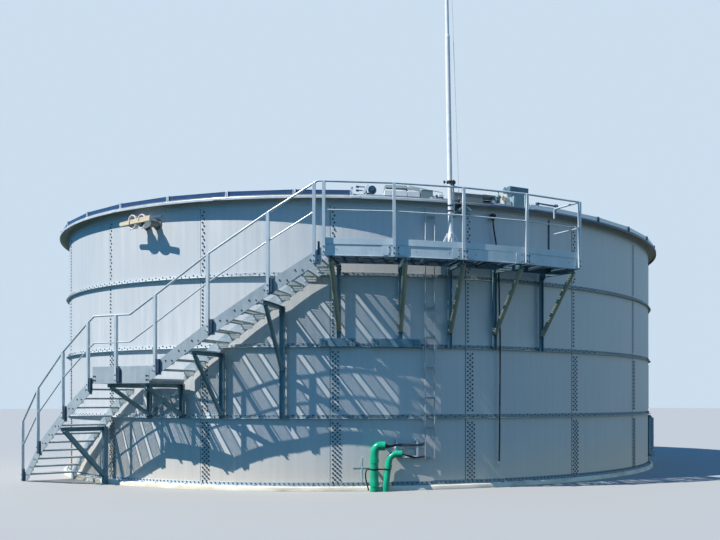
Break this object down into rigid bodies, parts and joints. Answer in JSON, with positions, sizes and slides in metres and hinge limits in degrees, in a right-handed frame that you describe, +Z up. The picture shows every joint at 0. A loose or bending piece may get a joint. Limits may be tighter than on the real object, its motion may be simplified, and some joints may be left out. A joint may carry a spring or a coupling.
{
  "type": "vertical storage tank",
  "caption": "Round bolted steel plate storage tank on a low slab, with ring girders, a low conical roof, a curved outside stair, a bracketed access platform and a slender mast.",
  "frame": {"origin": "on the tank's axis, at ground level, at the middle of the slab's underside", "axes": "+Z up the tank's axis; -Y towards the front, where the platform's middle and the cable ladder are; +X to the right seen from the front, with the stair rising from the left"},
  "size_m": [14.3778, 15.2353, 10.3257],
  "materials": {
    "concrete": "cast concrete, dusty, slightly stained at the edge",
    "shell_steel": "dull zinc-grey coated plate with soft streaks",
    "galvanised_steel": "weathered hot-dip galvanised steel",
    "roof_steel": "matt grey-green coated sheet",
    "white_paint": "satin white paint, slightly weathered",
    "grey_paint": "matt grey enclosure paint",
    "blue_paint": "dark blue gloss paint",
    "green_plastic": "smooth green drain pipe",
    "black_rubber": "black cable sheath"
  },
  "bodies": {
    "root": {"base_slab": "concrete", "shell_wall_1": "shell_steel", "shell_wall_2": "shell_steel", "shell_wall_3": "shell_steel", "shell_wall_4": "shell_steel", "shell_wall_5": "shell_steel", "shell_wall_6": "shell_steel", "base_angle": "galvanised_steel", "wind_girder_lower": "galvanised_steel", "wind_girder_middle": "galvanised_steel", "wind_girder_upper": "galvanised_steel", "top_rim": "galvanised_steel", "roof_sector_1": "roof_steel", "roof_sector_2": "roof_steel", "roof_sector_3": "roof_steel", "roof_sector_4": "roof_steel", "roof_sector_5": "roof_steel", "roof_sector_6": "roof_steel", "roof_cap": "roof_steel", "roof_upstand": "galvanised_steel", "stair_flight_lower_1": "galvanised_steel", "stair_flight_lower_2": "galvanised_steel", "stair_flight_lower_3": "galvanised_steel", "stair_flight_upper_1": "galvanised_steel", "stair_flight_upper_2": "galvanised_steel", "stair_flight_upper_3": "galvanised_steel", "stair_landing": "galvanised_steel", "platform_deck": "galvanised_steel", "platform_edge": "galvanised_steel", "landing_frame": "galvanised_steel", "stair_bracket_lower": "galvanised_steel", "stair_bracket_upper": "galvanised_steel", "platform_bracket_1": "galvanised_steel", "platform_bracket_2": "galvanised_steel", "platform_bracket_3": "galvanised_steel", "platform_bracket_4": "galvanised_steel", "platform_bracket_5": "galvanised_steel", "stair_trestle": "galvanised_steel", "stair_rail_lower": "galvanised_steel", "stair_rail_upper": "galvanised_steel", "platform_rail": "galvanised_steel", "mast_foot": "white_paint", "mast": "white_paint", "cable_ladder": "galvanised_steel", "hatch_covers": "white_paint", "junction_box": "roof_steel", "control_box": "grey_paint", "gauge_cabinet": "grey_paint", "roof_vent": "white_paint", "roof_valve": "blue_paint", "level_arm": "blue_paint", "inlet_stubs": "galvanised_steel", "service_risers": "green_plastic", "cable_tray": "galvanised_steel", "instrument_box": "white_paint", "cable_gland": "black_rubber", "drop_cable": "black_rubber", "cable_end": "white_paint", "cleaning_door": "galvanised_steel"}
  },
  "joints": []
}
